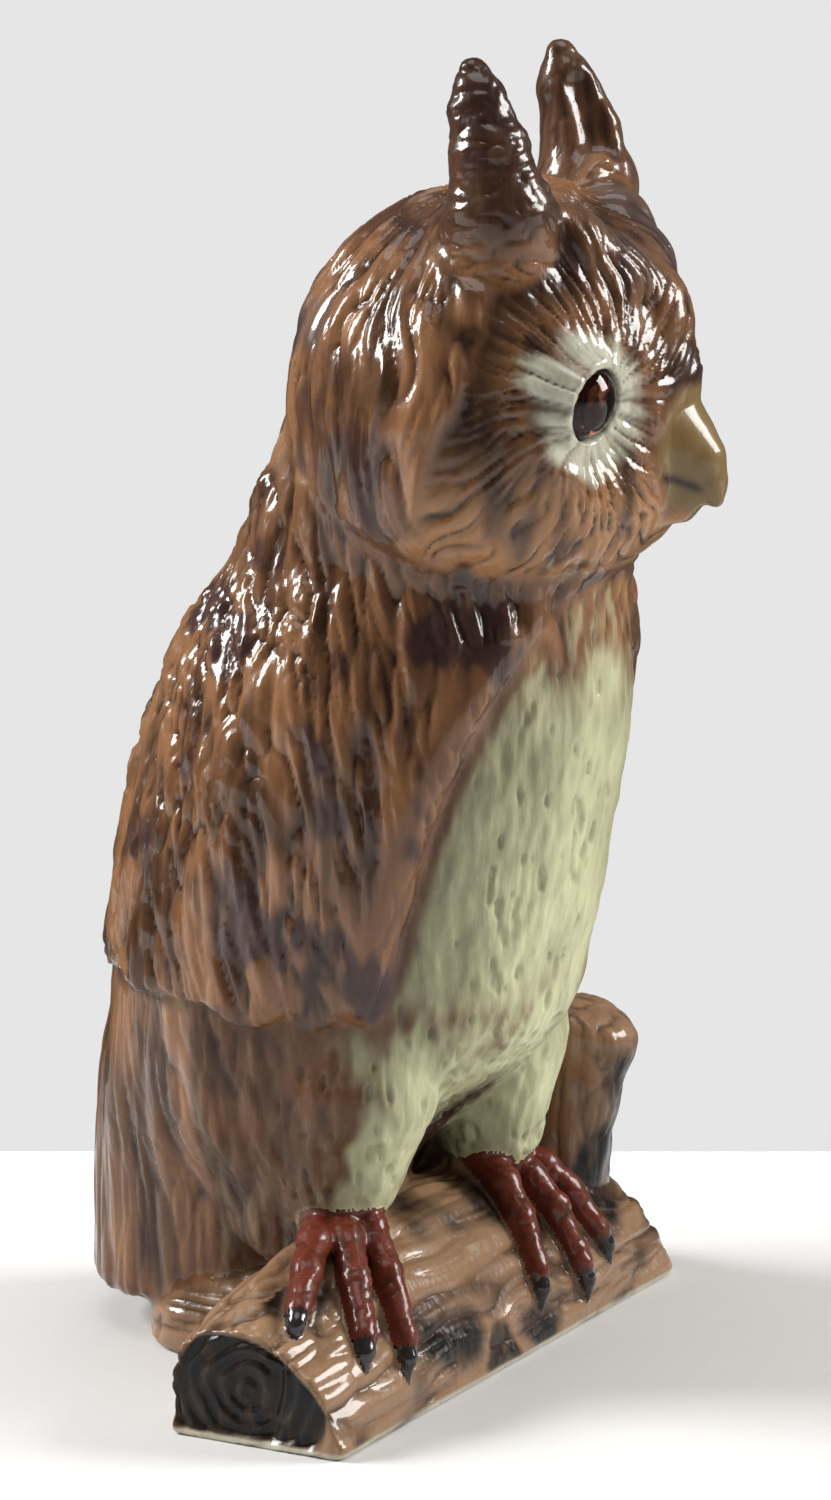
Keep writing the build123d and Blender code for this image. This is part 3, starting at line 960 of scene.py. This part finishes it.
# face
ringLeast = airbrushAndShade["ringLeast"]
dab("cream", face * inRing * (ringLeast + (1 - ringLeast) * smoothStep(ringFlow, 0.15, 0.6)))
outOfRing = face * (1 - inRing)
cheek = outOfRing * smoothStep(eyeOut, 15, 24) * smoothStep(z + 4 * cloud, 204, 222)
onForehead = smoothStep(z, 228, 240) * smoothStep(-hy, 24, 36)
belowCrown = 1 - smoothStep(z, 258, 270)
dab("umber", cheek * belowCrown * (1 - airbrushAndShade["foreheadLess"] * onForehead))
ringEdge = (1 - smoothStep(eyeOut, 16, 24)) * smoothStep(-ringFlow, -0.6, -0.2)
dab("umber", outOfRing * ringEdge * airbrushAndShade["ringEdge"])
chin = smoothStep(-z + 5 * cloud, -214, -200) * (hy < 20)
dab("honey", skull * (1 - inRing) * chin * airbrushAndShade["chin"])
dab("honey", onTorso * toBrown * smoothStep(feather, 0.5, 0.9) * airbrushAndShade["chest"])
greyWaves = wander(*scaled("greyWaves", x, y, z), 98)
dab("slate", skull * inMane * smoothStep(greyWaves, 0.15, 0.6) * airbrushAndShade["maneGrey"])
# painted shadow on the neck and shoulders under the head
shadowUnderHead = smoothStep(z, 168, 182) * (1 - onHead) * smoothStep(np.abs(x), 8, 26)
dab("umber", shadowUnderHead * (onWing + onTorso) * airbrushAndShade["shadowUnderHead"])
lidPart = face * (1 - smoothStep(eyeOut, 9.2, 10.2))
dab("umber", lidPart * airbrushAndShade["lid"])
onBrow = np.zeros(len(points))
for side in sides:
    fromRidge = inHead(brow["ridge"], side)(x, y, z)
    onBrow = np.maximum(onBrow, onHeadPiece * (1 - smoothStep(fromRidge, 0.5, 4)))
nearMiddle = 1 - smoothStep(np.abs(hx), 12, 22)
dab("slate", onBrow * (airbrushAndShade["brow"] + 0.4 * streak) * (1 - inRing) * nearMiddle)
for side, word in sides.items():
    onEar = isLabel["ear_tuft_" + word]
    dark = airbrushAndShade["ears"][side] + airbrushAndShade["earTips"] * smoothStep(z + cloud, 280, 284)
    dab("umber", onEar * dark * smoothStep(z + 4 * cloud, 252, 264))
    dab("plum", onEar * airbrushAndShade["earPlum"] * smoothStep(z, 258, 270))
gape = np.exp(-(((z - 204 - 0.5 * (hy + 48)) / 1.3) ** 2)) * smoothStep(hy, -52, -49)
dab("umber", isLabel["beak"] * np.maximum(gape, airbrushAndShade["beakRoot"] * smoothStep(hy, -46, -41)))

# wood: dark airbrushed patches on the front, each x, height and size
scorches = [(-35, 14, 13), (57, 22, 10), (10, 8, 9), (-62, 31, 8), (34, 30, 7)]
onLog = isLabel["log_base"]
patches = wander(*scaled("patches", x, y, z), 99) + 0.2 * cloud
dab("soot", onLog * smoothStep(patches, 0.22, 0.5) * airbrushAndShade["logPatches"])
dab("soot", endIn)
tone["valley"] *= 1 - endIn
tone["valley"] *= 1 - 0.6 * face * inRing
branchFront = smoothStep(out[:, 0] * 0.5 - out[:, 1] * 0.866 + 0.4 * cloud, 0.15, 0.7)
belowCut = 1 - smoothStep(z + 5 * cloud, 56, 66)
dab("soot", isLabel["branch_stub"] * branchFront * belowCut * airbrushAndShade["branchPatch"])
for px, pz, size in scorches:
    nearScorch = 1 - np.hypot((x - px) * 0.7, z - pz) / size + 0.5 * cloud
    dab("soot", onLog * (y < 4) * smoothStep(nearScorch, 0, 0.5) * airbrushAndShade["scorch"])
dab("umber", isLabel["knot_stub"] * smoothStep(cloud, -0.1, 0.6) * airbrushAndShade["knot"])
dab("cream", onLog * smoothStep(-z, -2.0, -1.0) * airbrushAndShade["logFoot"])
tone["soot"] *= 1 - onLog * smoothStep(-z, -2.2, -1.2)
print("airbrushed", len(tone), "colours")

# soften strokes and colours across the borders between pieces
mixed = (names[quads] != names[quads][:, :1]).any(1)
border = np.minimum(np.bincount(quads[mixed].ravel(), minlength=len(points)), 1.0)
border = np.minimum(relax(border, 5) * 2.2, 1)
raised += border * (relax(raised, 6) - raised)
for word in tone:
    tone[word] += border * (relax(tone[word], 4) - tone[word])

raised *= smoothStep(z, 0.2, 3.0)
points = points + out * np.clip(raised, -strokes["most"], strokes["most"])[:, None]
points[:, 2] = np.maximum(points[:, 2], 0.0)
out = pointNormals(points)
print("strokes worked in", raised.min(), raised.max())


def srgb(r, g, b):
    return tuple(((c / 255 + 0.055) / 1.055) ** 2.4 for c in (r, g, b)) + (1.0,)


paints = {
    "tan": srgb(136, 96, 65),
    "honey": srgb(172, 126, 84),
    "umber": srgb(52, 31, 19),
    "plum": srgb(58, 38, 38),
    "cream": srgb(196, 195, 176),
    "slate": srgb(66, 70, 80),
    "soot": srgb(12, 11, 13),
    "valley": srgb(52, 30, 18),
}
bases = {
    "brown": srgb(136, 96, 65),
    "belly": srgb(224, 226, 182),
    "bark": srgb(148, 116, 88),
    "toe": srgb(104, 44, 30),
    "claw": srgb(42, 38, 40),
    "horn": srgb(126, 104, 66),
}


glazeSizes = {
    "ragged": 260,  # how fine the edges of the airbrushing are
    "light": 150,
    "dark": 380,
    "gloss": 90,
    "wrinkle": 420,
    "wrinkleDepth": 0.0012,
    "drawnOut": (1, 1, 0.3),  # the grain is longer up and down
    "coatRoughness": 0.06,
    "specular": 0.2,
}


def glaze(name, base, rough=0.28, coat=0.6, bump=0.25, speckle=0.12):
    material = bpy.data.materials.new(name)
    material.use_nodes = True
    nodes, links = material.node_tree.nodes, material.node_tree.links
    shader = nodes["Principled BSDF"]
    place = nodes.new("ShaderNodeTexCoord")

    def noise(scale, detail, stretch=(1, 1, 1)):
        shape = nodes.new("ShaderNodeMapping")
        shape.inputs["Scale"].default_value = stretch
        links.new(place.outputs["Object"], shape.inputs["Vector"])
        pattern = nodes.new("ShaderNodeTexNoise")
        pattern.inputs["Scale"].default_value = scale
        pattern.inputs["Detail"].default_value = detail
        links.new(shape.outputs["Vector"], pattern.inputs["Vector"])
        return pattern.outputs["Fac"]

    def mix(first, second, factor):
        blend = nodes.new("ShaderNodeMix")
        blend.data_type = "RGBA"
        for socket, value in ((6, first), (7, second), (0, factor)):
            if isinstance(value, (tuple, float)):
                blend.inputs[socket].default_value = value
            else:
                links.new(value, blend.inputs[socket])
        return blend.outputs[2]

    def spread(value, low, high, start=0.0, end=1.0):
        ramp = nodes.new("ShaderNodeMapRange")
        for key, number in (("From Min", low), ("From Max", high), ("To Min", start), ("To Max", end)):
            ramp.inputs[key].default_value = number
        links.new(value, ramp.inputs["Value"])
        return ramp.outputs["Result"]

    colour = base
    for word, paint in paints.items():
        mask = nodes.new("ShaderNodeAttribute")
        mask.attribute_name = word
        ragged = nodes.new("ShaderNodeMath")
        ragged.operation = "MULTIPLY"
        links.new(mask.outputs["Fac"], ragged.inputs[0])
        edges = noise(glazeSizes["ragged"], 3, (1, 1, 0.35))
        links.new(spread(edges, 0.3, 0.6, 0.86, 1.15), ragged.inputs[1])
        colour = mix(colour, paint, mask.outputs["Fac"] if word == "tan" else ragged.outputs[0])
    lighter = tuple(min(1.0, c * 1.35) for c in base[:3]) + (1.0,)
    lightSpots = noise(glazeSizes["light"], 4, glazeSizes["drawnOut"])
    colour = mix(colour, lighter, spread(lightSpots, 0.5, 0.85, 0.0, speckle))
    darkSpots = noise(glazeSizes["dark"], 5, (1, 1, 0.25))
    colour = mix(colour, paints["umber"], spread(darkSpots, 0.55, 0.8, 0.0, speckle * 2))
    links.new(colour, shader.inputs["Base Color"])
    gloss = spread(noise(glazeSizes["gloss"], 3), 0.3, 0.7, rough * 0.8, rough * 1.25)
    links.new(gloss, shader.inputs["Roughness"])
    burnt = nodes.new("ShaderNodeAttribute")
    burnt.attribute_name = "soot"
    links.new(spread(burnt.outputs["Fac"], 0.3, 0.9, coat, coat * 0.35), shader.inputs["Coat Weight"])
    shader.inputs["Coat Roughness"].default_value = glazeSizes["coatRoughness"]
    shader.inputs["Specular IOR Level"].default_value = glazeSizes["specular"]
    shader.inputs["IOR"].default_value = 1.5
    wrinkle = nodes.new("ShaderNodeBump")
    wrinkle.inputs["Strength"].default_value = bump
    wrinkle.inputs["Distance"].default_value = glazeSizes["wrinkleDepth"]
    links.new(noise(glazeSizes["wrinkle"], 5, glazeSizes["drawnOut"]), wrinkle.inputs["Height"])
    links.new(wrinkle.outputs["Normal"], shader.inputs["Normal"])
    return material


brownGlaze = glaze("brown glaze", bases["brown"])
bellyGlaze = glaze("belly glaze", bases["belly"], rough=0.42, coat=0.25, bump=0.35, speckle=0.1)
barkGlaze = glaze("bark glaze", bases["bark"], rough=0.3, coat=0.5)
toeGlaze = glaze("red toe glaze", bases["toe"], rough=0.34, coat=0.35)
clawGlaze = glaze("claw glaze", bases["claw"], rough=0.2, coat=0.8)
hornGlaze = glaze("horn glaze", bases["horn"], rough=0.28, coat=0.5, bump=0.1)


def cloudy(name, first, second, scale, rough, **more):
    material = bpy.data.materials.new(name)
    material.use_nodes = True
    nodes, links = material.node_tree.nodes, material.node_tree.links
    shader = nodes["Principled BSDF"]
    place = nodes.new("ShaderNodeTexCoord")
    grain = nodes.new("ShaderNodeTexNoise")
    grain.inputs["Scale"].default_value = scale
    grain.inputs["Detail"].default_value = 4
    links.new(place.outputs["Object"], grain.inputs["Vector"])
    blend = nodes.new("ShaderNodeMix")
    blend.data_type = "RGBA"
    blend.inputs[6].default_value = first
    blend.inputs[7].default_value = second
    links.new(grain.outputs["Fac"], blend.inputs[0])
    links.new(blend.outputs[2], shader.inputs["Base Color"])
    shader.inputs["Roughness"].default_value = rough
    for key, value in more.items():
        shader.inputs[key.replace("_", " ")].default_value = value
    return material


finishes = {
    "wing": (brownGlaze, "brown_glaze"),
    "tail": (brownGlaze, "brown_glaze"),
    "head": (brownGlaze, "brown_glaze"),
    "ear": (brownGlaze, "dark_glaze"),
    "torso": (bellyGlaze, "pale_glaze"),
    "leg": (bellyGlaze, "pale_glaze"),
    "log": (barkGlaze, "tan_glaze"),
    "branch": (barkGlaze, "tan_glaze"),
    "knot": (barkGlaze, "tan_glaze"),
    "toe": (toeGlaze, "red_glaze"),
    "beak": (hornGlaze, "horn_glaze"),
    "claw": (clawGlaze, "claw_glaze"),
}
lipDepth = 2.0  # how far a piece's rim turns in under its neighbours


def cutPiece(node):
    mine = names[quads]
    votes = (mine == node).sum(1)
    firstWins = (votes == 2) & (mine[:, 0] == node)
    faces = quads[(votes > 2) | firstWins]
    used, faces = np.unique(faces, return_inverse=True)
    faces = faces.reshape(-1, 4)
    edges = np.concatenate([faces[:, [i, (i + 1) % 4]] for i in range(4)])
    key = np.sort(edges, axis=1) @ np.array([len(used), 1])
    _, firsts, counts = np.unique(key, return_index=True, return_counts=True)
    rim = edges[firsts[counts == 1]]
    rimPoints, rimEdges = np.unique(rim, return_inverse=True)
    rimEdges = rimEdges.reshape(-1, 2)
    inner = points[used[rimPoints]] - out[used[rimPoints]] * lipDepth
    inner[:, 2] = np.maximum(inner[:, 2], 0)
    spots = np.concatenate([points[used], inner])
    under = len(used) + rimEdges
    lip = np.stack([rim[:, 1], rim[:, 0], under[:, 0], under[:, 1]], 1)
    allFaces = np.concatenate([faces, lip])
    shape = bpy.data.meshes.new(node)
    shape.vertices.add(len(spots))
    shape.vertices.foreach_set("co", (spots * mm).astype(np.float32).ravel())
    shape.loops.add(len(allFaces) * 4)
    shape.loops.foreach_set("vertex_index", allFaces.ravel().astype(np.int32))
    shape.polygons.add(len(allFaces))
    shape.polygons.foreach_set("loop_start", np.arange(0, len(allFaces) * 4, 4, dtype=np.int32))
    shape.update(calc_edges=True)
    shape.shade_smooth()
    ways = np.concatenate([out[used], out[used[rimPoints]]])
    shape.normals_split_custom_set_from_vertices(ways.tolist())
    for word, amounts in tone.items():
        layer = shape.attributes.new(word, "FLOAT", "POINT")
        both = np.concatenate([amounts[used], amounts[used[rimPoints]]])
        layer.data.foreach_set("value", both.astype(np.float32))
    piece = bpy.data.objects.new(node + "_glazed", shape)
    bpy.context.scene.collection.objects.link(piece)
    material, slot = finishes[node.split("_")[0]]
    shape.materials.append(material)
    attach(piece, "root")
    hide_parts(node)
    return piece


for node in sorted(set(names)):
    piece = cutPiece(node)
    print("piece", piece.name, len(piece.data.polygons))

glassy = {"Transmission_Weight": 1.0, "IOR": 1.4}
eyeFinishes = {
    "eye_bed": cloudy("eye putty", srgb(20, 14, 11), srgb(44, 33, 26), 500, 0.6),
    "eye_iris": cloudy("amber iris", srgb(40, 10, 4), srgb(120, 42, 14), 700, 0.4),
    "eye_pupil": cloudy("black pupil", srgb(3, 2, 2), srgb(8, 5, 4), 400, 0.5),
    "eye_glass": cloudy("eye glass", (0.22, 0.08, 0.05, 1), (0.18, 0.06, 0.03, 1), 120, 0.02, **glassy),
}
for name, material in eyeFinishes.items():
    for word in sides.values():
        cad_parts[f"{name}_{word}"].data.materials.clear()
        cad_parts[f"{name}_{word}"].data.materials.append(material)

# plain floor, soft light and the camera
scene = bpy.context.scene
floorMesh = bpy.data.meshes.new("floor")
stage = {
    "away": Vector((0.866, 0.5, 0)),  # the way the camera looks, along the floor
    "aside": Vector((0.5, -0.866, 0)),
    "farEdge": 0.16,  # of the floor, behind the owl
    "reach": 3.0,
    "backdrop": (0.79, 0.79, 0.79, 1),
    "room": (1.0, 0.92, 0.83, 1),
    "roomStrength": 0.11,
}
reach, farEdge = stage["reach"], stage["farEdge"]
ends = ((-reach, -reach), (-reach, reach), (farEdge, reach), (farEdge, -reach))
floorCorners = [stage["away"] * u + stage["aside"] * v for u, v in ends]
floorMesh.from_pydata(floorCorners, [], [(0, 1, 2, 3)])
floor = bpy.data.objects.new("floor", floorMesh)
scene.collection.objects.link(floor)
whitePaper = cloudy("white paper", (0.69, 0.69, 0.69, 1), (0.73, 0.73, 0.73, 1), 300, 0.8)
floorMesh.materials.append(whitePaper)
world = bpy.data.worlds.new("studio")
scene.world = world
world.use_nodes = True
paper = world.node_tree.nodes["Background"]
paper.inputs["Color"].default_value = stage["backdrop"]
room = world.node_tree.nodes.new("ShaderNodeBackground")
room.inputs["Color"].default_value = stage["room"]
room.inputs["Strength"].default_value = stage["roomStrength"]
seen = world.node_tree.nodes.new("ShaderNodeLightPath")
either = world.node_tree.nodes.new("ShaderNodeMixShader")
wires = world.node_tree.links
wires.new(seen.outputs["Is Camera Ray"], either.inputs[0])
wires.new(room.outputs[0], either.inputs[1])
wires.new(paper.outputs[0], either.inputs[2])
wires.new(either.outputs[0], world.node_tree.nodes["World Output"].inputs["Surface"])
scene.view_settings.view_transform = "Standard"

view = {
    "place": (-0.9986, -0.570, 0.379),
    "target": (-0.046, -0.020, 0.150),
    "lens": 125.8,
    "sensor": 36,
    "nearest": 0.01,
}
camera = bpy.data.objects.new("camera", bpy.data.cameras.new("camera"))
scene.collection.objects.link(camera)
scene.camera = camera
camera.location = view["place"]
camera.rotation_euler = (Vector(view["target"]) - camera.location).to_track_quat("-Z", "Y").to_euler()
camera.data.lens = view["lens"]
camera.data.sensor_width = view["sensor"]
camera.data.clip_start = view["nearest"]

lamps = {
    # name: place, size, power, colour
    "window": ((-0.6, 1.2, 1.0), 0.6, 33, (1.0, 0.99, 0.97)),
    "softbox": ((0.9, -1.2, 0.85), 0.7, 28, (1.0, 0.98, 0.95)),
    "ceiling": ((-0.1, -0.1, 1.9), 1.3, 13, (1.0, 1.0, 1.0)),
}
lampTarget = Vector((0, 0, 0.15))
for name, (spot, size, power, colour) in lamps.items():
    lamp = bpy.data.objects.new(name, bpy.data.lights.new(name, "AREA"))
    lamp.data.energy = power
    lamp.data.size = size
    lamp.data.color = colour
    lamp.location = spot
    lamp.rotation_euler = (lampTarget - lamp.location).to_track_quat("-Z", "Y").to_euler()
    scene.collection.objects.link(lamp)

print("stage set with", len(lamps), "lamps")
